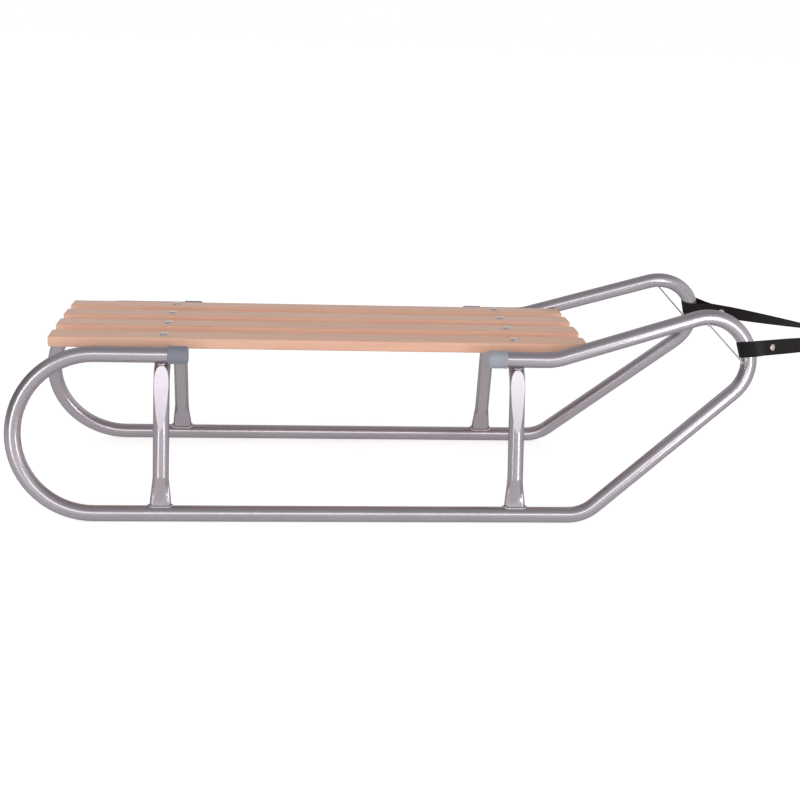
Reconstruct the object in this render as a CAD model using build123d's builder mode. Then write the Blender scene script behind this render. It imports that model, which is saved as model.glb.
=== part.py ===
"""Steel tube sled: two bent side frames, two arches, four bolted slats and a pull strap.

Millimetres. +X is forward, +Y is the rider's left, +Z is up. The origin is on the ground, at
the middle of the sled's length and width. Stations along the sled are measured from the centre
of the rear loop, where the tube bender's zero is.
"""

from build123d import *
from math import acos, asin, atan2, cos, degrees, radians, sin, sqrt, tan
import os

# ---- tube stock ---------------------------------------------------------------------------
TUBE_DIAMETER = 25.0
TUBE_WALL = 1.5
WELD_GAP = 0.2  # left between two tubes that a weld bead bridges

# ---- side frame: one bent tube, drawn flat and then leaned inwards -----------------------------
RUNNER_SPREAD = 400.0  # between the two runners' centre lines
FRAME_LEAN = 10.0  # degrees, top edge inwards
FRAME_HEIGHT = 249.0  # runner to rail in the plane of the frame, and the rear loop's diameter
RUNNER_END = 773.0  # station where the runner's line meets the rising front run
RISE_ANGLE = 40.0
RUNNER_BEND_RADIUS = 65.0
ARM_START = 720.0  # station where the front rail's line meets the sloping arm
ARM_ANGLE = 17.0
ARM_BEND_RADIUS = 85.0
CURL_RADIUS = 68.5
REAR_RAIL_OVERRUN = 38.0  # rail end past the rear arch
FRONT_RAIL_OVERRUN = 47.0  # rail end past the front arch

# ---- arches: bent tubes with flattened feet ----------------------------------------------------
REAR_ARCH_STATION = 102.0
ARCH_SPACING = 560.0
CROWN_RADIUS = 3400.0
CROSSBAR_DROP = 8.6  # the middle of the crossbar, below the rails
SHOULDER_RADIUS = 50.0
FOOT_WIDTH = 33.0
FOOT_THICKNESS = 11.0
FOOT_FLARE = 38.0  # length over which the round tube turns into the flat foot
FOOT_STRAIGHT = 7.0
PRESS_TOP_ANGLE = 44.0  # where the pressed flat begins, above level, on the shoulder
PRESS_DROP = 67.0  # how far below the bend the flat runs down the outside of the leg

# ---- seat ---------------------------------------------------------------------------------
SLAT_COUNT = 4
SLAT_LENGTH = 857.0
SLAT_REAR_OVERHANG = 179.0  # behind the rear arch
SLAT_WIDTH = 42.0
SLAT_THICKNESS = 17.4
BOLT_INSET = 8.3  # from the outermost bolts, along the crossbar, to the start of the shoulders
SLAT_EDGE_RADIUS = 3.0
SLAT_CORNER_RADIUS = 5.0
SEAT_GAP = 0.2  # between a slat, or a nut, and the round crossbar that it bears on

# ---- fasteners ------------------------------------------------------------------------------
BOLT_DIAMETER = 5.0
BOLT_HOLE_CLEARANCE = 0.5
BOLT_HEAD_DIAMETER = 13.0
BOLT_HEAD_HEIGHT = 2.8
BOLT_TAIL = 3.0  # thread that shows below the nut
NUT_WIDTH = 8.0
NUT_HEIGHT = 4.0
NUT_BORE_CLEARANCE = 0.2

# ---- rail end caps -----------------------------------------------------------------------------
CAP_LENGTH = 31.0
CAP_WALL = 1.5
CAP_END_WALL = 3.0
CAP_EDGE_RADIUS = 3.5
CAP_CLEARANCE = 0.1

# ---- keeper wires, one across the inside of each curl ---------------------------------------------
KEEPER_DIAMETER = 2.5
KEEPER_TOP_ANGLE = 90.0  # round the curl's centre, from level
KEEPER_LOW_ANGLE = -2.0
KEEPER_OFFSET = 5.0  # out from the middle of the side frame

# ---- pull strap -------------------------------------------------------------------------------
STRAP_WIDTH = 25.0
STRAP_THICKNESS = 1.5
STRAP_GAP = 1.6  # lets the flat band clear the bend of the curl
STRAP_ANGLE = 15.0  # where the strap goes round the curl, above level
STRAP_REACH = 285.0  # ahead of the curl to the point where the two legs meet
STRAP_DROP = 17.0
STRAP_PINCH = 36.0  # where the two layers meet, ahead of the tube's centre
STRAP_PINCH_RADIUS = 0.2  # of the inside of the fold there
STRAP_TAIL = 71.0  # where the folded-back layer ends
STRAP_FLAT = 36.0  # the last stretch of a leg, which has no twist
STRAP_TWIST_SPANS = 6
MITRE_GAP = 0.3  # between the two legs where they meet

# ---- hand loop and rivets -----------------------------------------------------------------------
LOOP_LENGTH = 95.0  # ahead of the point where the legs meet
LOOP_RADIUS = 15.0
LOOP_LAP = 24.0  # how far the loop's two ends lie over and under the legs
LOOP_CLEARANCE = 0.2
RIVET_STATION = 57.0  # ahead of the tube's centre
RIVET_DIAMETER = 4.0
RIVET_HEAD_DIAMETER = 11.0
RIVET_HEAD_HEIGHT = 2.2
RIVET_BURR_HEIGHT = 1.0
RIVET_CLEARANCE = 0.1
LOOP_RIVET_BACK = 12.0  # behind the point where the legs meet
LOOP_RIVET_SPREAD = 13.0

# ---- derived ------------------------------------------------------------------------------
TUBE_RADIUS = TUBE_DIAMETER / 2
FRONT_ARCH_STATION = REAR_ARCH_STATION + ARCH_SPACING
ARCH_STATIONS = {"rear": REAR_ARCH_STATION, "front": FRONT_ARCH_STATION}
REAR_RAIL_END = REAR_ARCH_STATION + REAR_RAIL_OVERRUN
FRONT_RAIL_END = FRONT_ARCH_STATION - FRONT_RAIL_OVERRUN


def on_circle(centre: Vector, radius: float, angle: float) -> Vector:
    """The point of a circle at an angle in degrees."""
    return centre + Vector(cos(radians(angle)), sin(radians(angle))) * radius


def pair(point: Vector) -> tuple[float, float]:
    """A point of a drawing, as a line takes it in the drawing's own plane."""
    return point.X, point.Y


def curl_corner() -> Vector:
    """Where the rising front run and the sloping arm would cross if they ran on."""
    rise = tan(radians(RISE_ANGLE))
    slope = tan(radians(ARM_ANGLE))
    height = (RUNNER_END - ARM_START + FRAME_HEIGHT / slope) / (1 / slope - 1 / rise)
    return Vector(RUNNER_END + height / rise, height)


def curl_centre() -> Vector:
    """The centre of the front curl's arc, on the line that halves the corner."""
    half_corner = (RISE_ANGLE - ARM_ANGLE) / 2
    reach = CURL_RADIUS / sin(radians(half_corner))
    return on_circle(curl_corner(), reach, 180 + ARM_ANGLE + half_corner)


def frame_centreline(plane: Plane) -> Wire:
    """The side frame's bend line, from the rear rail's end round to the front rail's end."""
    with BuildLine(plane) as centreline:
        Line((REAR_RAIL_END, FRAME_HEIGHT), (0, FRAME_HEIGHT))
        CenterArc((0, FRAME_HEIGHT / 2), FRAME_HEIGHT / 2, 90, 180)
        FilletPolyline(
            (0, 0),
            (RUNNER_END, 0),
            pair(curl_corner()),
            (ARM_START, FRAME_HEIGHT),
            (FRONT_RAIL_END, FRAME_HEIGHT),
            radius=[RUNNER_BEND_RADIUS, CURL_RADIUS, ARM_BEND_RADIUS],
        )
    return centreline.wire()


flat_outline = frame_centreline(Plane.XY).bounding_box()
MID_STATION = (flat_outline.min.X + flat_outline.max.X) / 2
RIGHT_FRAME_PLANE = Plane(
    origin=(-MID_STATION, -RUNNER_SPREAD / 2, TUBE_RADIUS),
    x_dir=(1, 0, 0),
    z_dir=(0, -cos(radians(FRAME_LEAN)), sin(radians(FRAME_LEAN))),
)
RAIL_ORIGIN = RIGHT_FRAME_PLANE.from_local_coords(Vector(0, FRAME_HEIGHT))


def finish(part: Part, name: str) -> None:
    """Label a finished piece and write its STEP file."""
    part.label = name
    export_step(part, f"parts/{name}.step")


def finish_pair(part: Part, name: str) -> None:
    """Write a piece of the right side and its mirror image on the left."""
    finish(part, f"{name}_right")
    finish(mirror(part, about=Plane.XZ), f"{name}_left")


os.makedirs("parts", exist_ok=True)

# ---- side frames --------------------------------------------------------------------------
right_path = frame_centreline(RIGHT_FRAME_PLANE)
with BuildPart() as side_frame:
    with BuildSketch(Plane(origin=right_path @ 0, z_dir=right_path % 0)):
        Circle(TUBE_RADIUS)
        Circle(TUBE_RADIUS - TUBE_WALL, mode=Mode.SUBTRACT)
    sweep(path=right_path)
finish_pair(side_frame.part, "side_frame")


# ---- arches -------------------------------------------------------------------------------
# The arch is drawn across the sled, first coordinate outwards and second coordinate up. Its
# shoulder is tangent to the crowned crossbar and just touches the rail.
RAIL_CENTRE = Vector(-RAIL_ORIGIN.Y, RAIL_ORIGIN.Z)
RUNNER_CENTRE = Vector(RUNNER_SPREAD / 2, TUBE_RADIUS)
CROWN_CENTRE = Vector(0, RAIL_CENTRE.Y - CROSSBAR_DROP - CROWN_RADIUS)


def shoulder_centre() -> Vector:
    """The bend centre at the right distance from both the crown's centre and the rail."""
    to_crown = CROWN_RADIUS - SHOULDER_RADIUS
    to_rail = SHOULDER_RADIUS + TUBE_DIAMETER + WELD_GAP
    line = RAIL_CENTRE - CROWN_CENTRE
    along = (to_crown**2 - to_rail**2 + line.length**2) / (2 * line.length)
    across = sqrt(to_crown**2 - along**2)
    direction = line.normalized()
    return CROWN_CENTRE + direction * along + Vector(-direction.Y, direction.X) * across


SHOULDER_CENTRE = shoulder_centre()
crown_arm = SHOULDER_CENTRE - CROWN_CENTRE
CROWN_HALF_ANGLE = degrees(atan2(crown_arm.X, crown_arm.Y))
leg_line = RUNNER_CENTRE - SHOULDER_CENTRE
LEG_LENGTH = sqrt(leg_line.length**2 - SHOULDER_RADIUS**2)
LEG_SPLAY = degrees(
    atan2(leg_line.Y, leg_line.X) + acos(SHOULDER_RADIUS / leg_line.length)
)
FOOT_TOP = TUBE_RADIUS + FOOT_STRAIGHT + FOOT_FLARE
LEG_UP = Vector(-sin(radians(LEG_SPLAY)), cos(radians(LEG_SPLAY)))
FOOT_PLANE = Plane(
    origin=(0, RUNNER_CENTRE.X, RUNNER_CENTRE.Y),
    x_dir=(1, 0, 0),
    z_dir=(0, LEG_UP.X, LEG_UP.Y),
)
BOLT_HOLE_RADIUS = (BOLT_DIAMETER + BOLT_HOLE_CLEARANCE) / 2


def slat_planes(x: float) -> list[Plane]:
    """The underside of each slat, from the right to the left, tangent to the crown."""
    planes = []
    seat_radius = CROWN_RADIUS + TUBE_RADIUS + SEAT_GAP
    outer_angle = radians(CROWN_HALF_ANGLE) - BOLT_INSET / CROWN_RADIUS
    for index in range(SLAT_COUNT):
        angle = outer_angle * (2 * index / (SLAT_COUNT - 1) - 1)
        rise = Vector(0, sin(angle), cos(angle))
        origin = Vector(x, 0, CROWN_CENTRE.Y) + rise * seat_radius
        planes.append(Plane(origin=origin, x_dir=(1, 0, 0), z_dir=rise))
    return planes


def arch_bar(radius: float, press_depth: float) -> Part:
    """A round bar bent to the arch, down to the flare of its feet, with both flats pressed."""
    shoulder_bend = 90 - CROWN_HALF_ANGLE - LEG_SPLAY
    leg_top = RUNNER_CENTRE + LEG_UP * LEG_LENGTH
    leg_end = RUNNER_CENTRE + LEG_UP * FOOT_TOP
    with BuildLine(Plane.YZ) as bend_line:
        right_leg = Line((-leg_end.X, leg_end.Y), (-leg_top.X, leg_top.Y))
        right_bend = JernArc(right_leg @ 1, right_leg % 1, SHOULDER_RADIUS, -shoulder_bend)
        crown = JernArc(right_bend @ 1, right_bend % 1, CROWN_RADIUS, -2 * CROWN_HALF_ANGLE)
        left_bend = JernArc(crown @ 1, crown % 1, SHOULDER_RADIUS, -shoulder_bend)
        Line(left_bend @ 1, (leg_end.X, leg_end.Y))
    path = bend_line.wire()
    flat_top = on_circle(SHOULDER_CENTRE, SHOULDER_RADIUS + TUBE_RADIUS, PRESS_TOP_ANGLE)
    leg_side = RUNNER_CENTRE + Vector(LEG_UP.Y, -LEG_UP.X) * TUBE_RADIUS
    flat_low = leg_side + LEG_UP * (LEG_LENGTH - PRESS_DROP)
    outwards = Vector(flat_top.Y - flat_low.Y, flat_low.X - flat_top.X).normalized()
    inset = outwards * press_depth
    with BuildPart() as bar:
        with BuildSketch(Plane(origin=path @ 0, z_dir=path % 0)):
            Circle(radius)
        sweep(path=path)
        with BuildSketch(Plane.YZ):
            with BuildLine():
                Polyline(
                    pair(flat_top - inset),
                    pair(flat_low - inset),
                    pair(flat_low + outwards * TUBE_DIAMETER),
                    pair(flat_top + outwards * TUBE_DIAMETER),
                    close=True,
                )
            make_face()
            mirror(about=Plane.YZ)
        extrude(amount=TUBE_DIAMETER, both=True, mode=Mode.SUBTRACT)
    return bar.part


outer_bar = arch_bar(TUBE_RADIUS, 0.0)
bore = arch_bar(TUBE_RADIUS - TUBE_WALL, TUBE_WALL)
with BuildPart() as feet:
    with BuildSketch(FOOT_PLANE.offset(FOOT_TOP)):
        Circle(TUBE_RADIUS)
    with BuildSketch(FOOT_PLANE.offset(FOOT_TOP - FOOT_FLARE)):
        SlotOverall(FOOT_WIDTH, FOOT_THICKNESS)
    loft()
    with BuildSketch(FOOT_PLANE.offset(FOOT_TOP - FOOT_FLARE)):
        SlotOverall(FOOT_WIDTH, FOOT_THICKNESS)
    extrude(amount=-(FOOT_STRAIGHT + TUBE_RADIUS / 2))
    with BuildSketch(Plane.YZ):
        with Locations(pair(RUNNER_CENTRE)):
            Circle(TUBE_RADIUS + WELD_GAP)
    extrude(amount=FOOT_WIDTH, both=True, mode=Mode.SUBTRACT)
    mirror(about=Plane.XZ)

with BuildPart() as arch:
    add(outer_bar)
    add(bore, mode=Mode.SUBTRACT)
    add(feet.part)
    for seat_plane in slat_planes(0.0):
        with BuildSketch(seat_plane):
            Circle(BOLT_HOLE_RADIUS)
        extrude(amount=-2 * TUBE_DIAMETER, mode=Mode.SUBTRACT)

for name, station in ARCH_STATIONS.items():
    finish(arch.part.moved(Location((station - MID_STATION, 0, 0))), f"arch_{name}")

# ---- seat slats ---------------------------------------------------------------------------
SLAT_MID_STATION = REAR_ARCH_STATION - SLAT_REAR_OVERHANG + SLAT_LENGTH / 2


def slat(seat_plane: Plane) -> Part:
    """One board with rounded edges and corners, and a bolt hole over each arch."""
    with BuildPart() as board:
        with BuildSketch(seat_plane):
            RectangleRounded(SLAT_LENGTH, SLAT_WIDTH, SLAT_CORNER_RADIUS)
        extrude(amount=SLAT_THICKNESS)
        rims = board.faces().sort_by(Axis.Z)
        fillet(rims[0].edges() + rims[-1].edges(), SLAT_EDGE_RADIUS)
        with BuildSketch(seat_plane):
            for station in ARCH_STATIONS.values():
                with Locations((station - SLAT_MID_STATION, 0)):
                    Circle(BOLT_HOLE_RADIUS)
        extrude(amount=SLAT_THICKNESS, mode=Mode.SUBTRACT)
    return board.part


for number, seat_plane in enumerate(slat_planes(SLAT_MID_STATION - MID_STATION), start=1):
    finish(slat(seat_plane), f"slat_{number}")

# ---- bolts and nuts -------------------------------------------------------------------------
# Both are drawn on the underside of a slat: the bolt's head is one slat above it, and the nut is
# one tube below it.
NUT_TOP = -(SEAT_GAP + TUBE_DIAMETER + SEAT_GAP)


def domed_pin(shank: float, head: float, head_height: float, top: float, bottom: float) -> Part:
    """An upright pin with a domed head; shank and head are diameters."""
    dome_radius = ((head / 2) ** 2 + head_height**2) / (2 * head_height)
    dome_angle = degrees(asin(head / 2 / dome_radius))
    crown_height = top + head_height
    with BuildPart() as pin:
        with BuildSketch(Plane.XZ):
            with BuildLine():
                CenterArc((0, crown_height - dome_radius), dome_radius, 90 - dome_angle, dome_angle)
                Polyline(
                    (0, crown_height),
                    (0, bottom),
                    (shank / 2, bottom),
                    (shank / 2, top),
                    (head / 2, top),
                )
            make_face()
        revolve(axis=Axis.Z)
    return pin.part


bolt = domed_pin(
    BOLT_DIAMETER,
    BOLT_HEAD_DIAMETER,
    BOLT_HEAD_HEIGHT,
    SLAT_THICKNESS,
    NUT_TOP - NUT_HEIGHT - BOLT_TAIL,
)
with BuildPart() as nut:
    with BuildSketch(Plane.XY.offset(NUT_TOP - NUT_HEIGHT)):
        RegularPolygon(NUT_WIDTH / 2, side_count=6, major_radius=False)
        Circle((BOLT_DIAMETER + NUT_BORE_CLEARANCE) / 2, mode=Mode.SUBTRACT)
    extrude(amount=NUT_HEIGHT)

for name, station in ARCH_STATIONS.items():
    for number, hole_plane in enumerate(slat_planes(station - MID_STATION), start=1):
        finish(bolt.moved(hole_plane.location), f"bolt_{name}_{number}")
        finish(nut.part.moved(hole_plane.location), f"nut_{name}_{number}")

# ---- rail end caps ----------------------------------------------------------------------------
CAP_MOUTH_DEPTH = CAP_LENGTH - CAP_END_WALL


def end_cap(rail_end: float, direction: int) -> Part:
    """A plastic cap over the end of a right-hand rail, closed towards the given direction."""
    centre = RIGHT_FRAME_PLANE.from_local_coords(Vector(rail_end, FRAME_HEIGHT))
    with BuildPart() as cap:
        with BuildSketch(Plane(origin=centre, z_dir=(direction, 0, 0)).offset(-CAP_MOUTH_DEPTH)):
            Circle(TUBE_RADIUS + CAP_CLEARANCE + CAP_WALL)
        extrude(amount=CAP_LENGTH)
        tip = cap.faces().sort_by(Axis.X)[-1 if direction > 0 else 0]
        fillet(tip.edges(), CAP_EDGE_RADIUS)
        with BuildSketch(Plane(origin=centre, z_dir=(direction, 0, 0)).offset(-CAP_MOUTH_DEPTH)):
            Circle(TUBE_RADIUS + CAP_CLEARANCE)
        extrude(amount=CAP_MOUTH_DEPTH, mode=Mode.SUBTRACT)
    return cap.part


finish_pair(end_cap(REAR_RAIL_END, 1), "end_cap_rear")
finish_pair(end_cap(FRONT_RAIL_END, -1), "end_cap_front")

# ---- keeper wires ---------------------------------------------------------------------------
# Each wire runs straight between two points of the curl's inner side, and is coped to the tube.
CURL_CENTRE = curl_centre()
CURL_PLANE = RIGHT_FRAME_PLANE.shift_origin(RIGHT_FRAME_PLANE.from_local_coords(CURL_CENTRE))
WIRE_PLANE = CURL_PLANE.offset(KEEPER_OFFSET)
INNER_RADIUS = CURL_RADIUS - TUBE_RADIUS
wire_top = WIRE_PLANE.from_local_coords(on_circle(Vector(), INNER_RADIUS, KEEPER_TOP_ANGLE))
wire_low = WIRE_PLANE.from_local_coords(on_circle(Vector(), INNER_RADIUS, KEEPER_LOW_ANGLE))
wire_run = (wire_top - wire_low).normalized()
with BuildPart() as keeper:
    with BuildSketch(Plane(origin=wire_low - wire_run * TUBE_RADIUS, z_dir=wire_run)):
        Circle(KEEPER_DIAMETER / 2)
    extrude(amount=(wire_top - wire_low).length + TUBE_DIAMETER)
    with Locations(CURL_PLANE.location):
        Torus(CURL_RADIUS, TUBE_RADIUS + WELD_GAP, mode=Mode.SUBTRACT)
finish_pair(keeper.part, "keeper_wire")

# ---- pull strap -----------------------------------------------------------------------------
# The strap's legs run straight from the curls to the point where the hand loop joins them. A leg
# is upright at the curl and lies flat at the hand loop.
tube_point = on_circle(Vector(), CURL_RADIUS, STRAP_ANGLE)
STRAP_START = CURL_PLANE.from_local_coords(tube_point)
TUBE_UP = CURL_PLANE.from_local_coords(on_circle(tube_point, 1, STRAP_ANGLE + 90)) - STRAP_START
STRAP_MEETING = Vector(STRAP_START.X + STRAP_REACH, 0, STRAP_START.Z - STRAP_DROP)
STRAP_RUN = (STRAP_MEETING - STRAP_START).length
RUN_DIRECTION = (STRAP_MEETING - STRAP_START).normalized()
INWARDS = TUBE_UP.cross(RUN_DIRECTION).normalized()
BAND_UP = RUN_DIRECTION.cross(INWARDS)
WRAP_PLANE = Plane(origin=STRAP_START, x_dir=RUN_DIRECTION, z_dir=BAND_UP)
MEETING_PLANE = Plane(
    origin=STRAP_MEETING, x_dir=(STRAP_REACH, 0, -STRAP_DROP), z_dir=(STRAP_DROP, 0, STRAP_REACH)
)
TWIST = atan2(BAND_UP.dot(MEETING_PLANE.z_dir), -INWARDS.dot(MEETING_PLANE.z_dir))
WRAP_RADIUS = TUBE_RADIUS / BAND_UP.dot(TUBE_UP) + STRAP_GAP
WRAP_RIVET_PLANE = Plane(origin=STRAP_START + RUN_DIRECTION * RIVET_STATION, z_dir=-INWARDS)
LOOP_RIVET_PLANE = MEETING_PLANE.shift_origin(
    MEETING_PLANE.from_local_coords(Vector(-LOOP_RIVET_BACK, -LOOP_RIVET_SPREAD / 2))
)
LEG_START = STRAP_TAIL - STRAP_WIDTH / 2
TWIST_RUN = STRAP_RUN - STRAP_FLAT - LEG_START


def loop_outline(radius: float, reach: float, tip_radius: float) -> None:
    """A circle drawn out to a smaller one ahead of it, in a sketch."""
    Circle(radius)
    with Locations((reach, 0)):
        Circle(tip_radius)
    make_hull()


def leg_section(share: float) -> Plane:
    """The plane across a leg, turned by a share of the leg's twist."""
    width_dir = BAND_UP * cos(TWIST * share) + INWARDS * sin(TWIST * share)
    centre = STRAP_START + RUN_DIRECTION * (LEG_START + TWIST_RUN * share)
    return Plane(origin=centre, x_dir=width_dir, z_dir=RUN_DIRECTION)


with BuildPart() as strap:
    with BuildSketch(WRAP_PLANE):
        loop_outline(WRAP_RADIUS + STRAP_THICKNESS, STRAP_PINCH, STRAP_THICKNESS)
        with Locations((STRAP_PINCH, 0)):
            Rectangle(
                STRAP_TAIL - STRAP_PINCH, 2 * STRAP_THICKNESS, align=(Align.MIN, Align.CENTER)
            )
    extrude(amount=STRAP_WIDTH / 2, dir=TUBE_UP, both=True)
    with BuildSketch(WRAP_PLANE):
        loop_outline(WRAP_RADIUS, STRAP_PINCH, STRAP_PINCH_RADIUS)
    extrude(amount=STRAP_WIDTH, dir=TUBE_UP, both=True, mode=Mode.SUBTRACT)
    for span in range(STRAP_TWIST_SPANS + 1):
        with BuildSketch(leg_section(span / STRAP_TWIST_SPANS)):
            Rectangle(STRAP_WIDTH, STRAP_THICKNESS)
    loft(ruled=True)
    with BuildSketch(leg_section(1.0)):
        Rectangle(STRAP_WIDTH, STRAP_THICKNESS)
    extrude(amount=STRAP_FLAT + STRAP_WIDTH)
    split(bisect_by=Plane.XZ.offset(MITRE_GAP / 2), keep=Keep.TOP)
    with BuildSketch(WRAP_RIVET_PLANE, LOOP_RIVET_PLANE):
        Circle(RIVET_DIAMETER / 2 + RIVET_CLEARANCE)
    extrude(amount=RIVET_HEAD_DIAMETER, both=True, mode=Mode.SUBTRACT)
finish_pair(strap.part, "strap")

# ---- hand loop ------------------------------------------------------------------------------
# A loop of the same webbing. Its ends lie over and under the two legs and are riveted to them.
LOOP_BACK = LOOP_LENGTH - LOOP_RADIUS
LOOP_PLANE = Plane(
    origin=MEETING_PLANE.from_local_coords(Vector(LOOP_BACK, 0)),
    x_dir=-MEETING_PLANE.x_dir,
    z_dir=(0, 1, 0),
)
LAP_INNER = STRAP_THICKNESS / 2 + LOOP_CLEARANCE
LAP_OUTER = LAP_INNER + STRAP_THICKNESS


def lapped_outline(radius: float, half_height: float) -> None:
    """The hand loop's side view with its lap over the legs, in a sketch."""
    loop_outline(radius, LOOP_BACK, half_height)
    with Locations((LOOP_BACK, 0)):
        Rectangle(LOOP_LAP, 2 * half_height, align=(Align.MIN, Align.CENTER))


with BuildPart() as hand_loop:
    with BuildSketch(LOOP_PLANE):
        lapped_outline(LOOP_RADIUS + STRAP_THICKNESS, LAP_OUTER)
    extrude(amount=STRAP_WIDTH / 2, both=True)
    with BuildSketch(LOOP_PLANE):
        lapped_outline(LOOP_RADIUS, LAP_INNER)
    extrude(amount=STRAP_WIDTH, both=True, mode=Mode.SUBTRACT)
    with BuildSketch(LOOP_RIVET_PLANE):
        Circle(RIVET_DIAMETER / 2 + RIVET_CLEARANCE)
        with Locations((0, LOOP_RIVET_SPREAD)):
            Circle(RIVET_DIAMETER / 2 + RIVET_CLEARANCE)
    extrude(amount=RIVET_HEAD_DIAMETER, both=True, mode=Mode.SUBTRACT)
finish(hand_loop.part, "hand_loop")


# ---- rivets ---------------------------------------------------------------------------------
def rivet(half_grip: float) -> Part:
    """A domed rivet and its burr, on a stack of webbing that is centred on the origin."""
    pin = domed_pin(
        RIVET_DIAMETER, RIVET_HEAD_DIAMETER, RIVET_HEAD_HEIGHT, half_grip, -half_grip
    )
    with BuildPart() as fastener:
        add(pin)
        with BuildSketch(Plane.XY.offset(-half_grip)):
            Circle(RIVET_HEAD_DIAMETER / 2)
        extrude(amount=-RIVET_BURR_HEIGHT)
    return fastener.part


finish_pair(rivet(STRAP_THICKNESS).moved(WRAP_RIVET_PLANE.location), "strap_rivet")
finish_pair(rivet(LAP_OUTER).moved(LOOP_RIVET_PLANE.location), "loop_rivet")
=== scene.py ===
"""Looks of the steel tube sled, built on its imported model.

Everything is in metres in the sled's own frame: +X is forward, +Y is the rider's left, +Z is up,
and the origin is on the ground under the middle of the sled.
"""

import logging
import math
from collections.abc import Callable, Iterable, Sequence
from dataclasses import dataclass, field
from enum import Enum

import bpy
from mathutils import Matrix, Vector

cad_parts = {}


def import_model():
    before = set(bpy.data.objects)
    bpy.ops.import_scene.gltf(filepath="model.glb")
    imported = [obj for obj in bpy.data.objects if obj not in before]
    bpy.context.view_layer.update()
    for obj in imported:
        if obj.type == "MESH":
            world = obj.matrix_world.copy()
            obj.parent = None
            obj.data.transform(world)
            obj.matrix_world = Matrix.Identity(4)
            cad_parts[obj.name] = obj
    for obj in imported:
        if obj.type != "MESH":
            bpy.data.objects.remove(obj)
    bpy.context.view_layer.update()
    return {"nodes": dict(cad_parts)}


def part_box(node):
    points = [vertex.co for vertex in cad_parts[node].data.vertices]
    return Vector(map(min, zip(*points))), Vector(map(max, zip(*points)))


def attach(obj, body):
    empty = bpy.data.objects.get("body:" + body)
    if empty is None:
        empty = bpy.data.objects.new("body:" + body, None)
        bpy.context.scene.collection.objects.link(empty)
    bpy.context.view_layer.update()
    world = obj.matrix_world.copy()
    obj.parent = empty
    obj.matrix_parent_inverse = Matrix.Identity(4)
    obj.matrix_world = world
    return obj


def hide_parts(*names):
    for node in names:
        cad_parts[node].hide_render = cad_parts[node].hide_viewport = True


LOG = logging.getLogger("sled")
MM = 0.001
BODY = "root"

Colour = tuple[float, float, float, float]
Feed = float | Sequence[float] | bpy.types.Node | bpy.types.NodeSocket
Ring = tuple[float, float]


def shade(red: int, green: int, blue: int) -> Colour:
    """A colour as a shader takes it.

    Args:
        red, green, blue: the colour as it looks, each from 0 to 255.

    Returns:
        The linear colour, with full alpha.
    """
    levels = []
    for level in (red, green, blue):
        share = level / 255
        levels.append(share / 12.92 if share <= 0.04045 else ((share + 0.055) / 1.055) ** 2.4)
    return (*levels, 1.0)


class Side(Enum):
    """The two sides of the sled, with the sign of their Y."""

    RIGHT = -1
    LEFT = 1

    @property
    def label(self) -> str:
        """The side's name as the CAD nodes spell it."""
        return self.name.lower()


class End(Enum):
    """The two ends of the sled, with the sign of their X."""

    REAR = -1
    FRONT = 1

    @property
    def label(self) -> str:
        """The end's name as the CAD nodes spell it."""
        return self.name.lower()


# ---- node sheets and finishes ----------------------------------------------------------------


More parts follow.
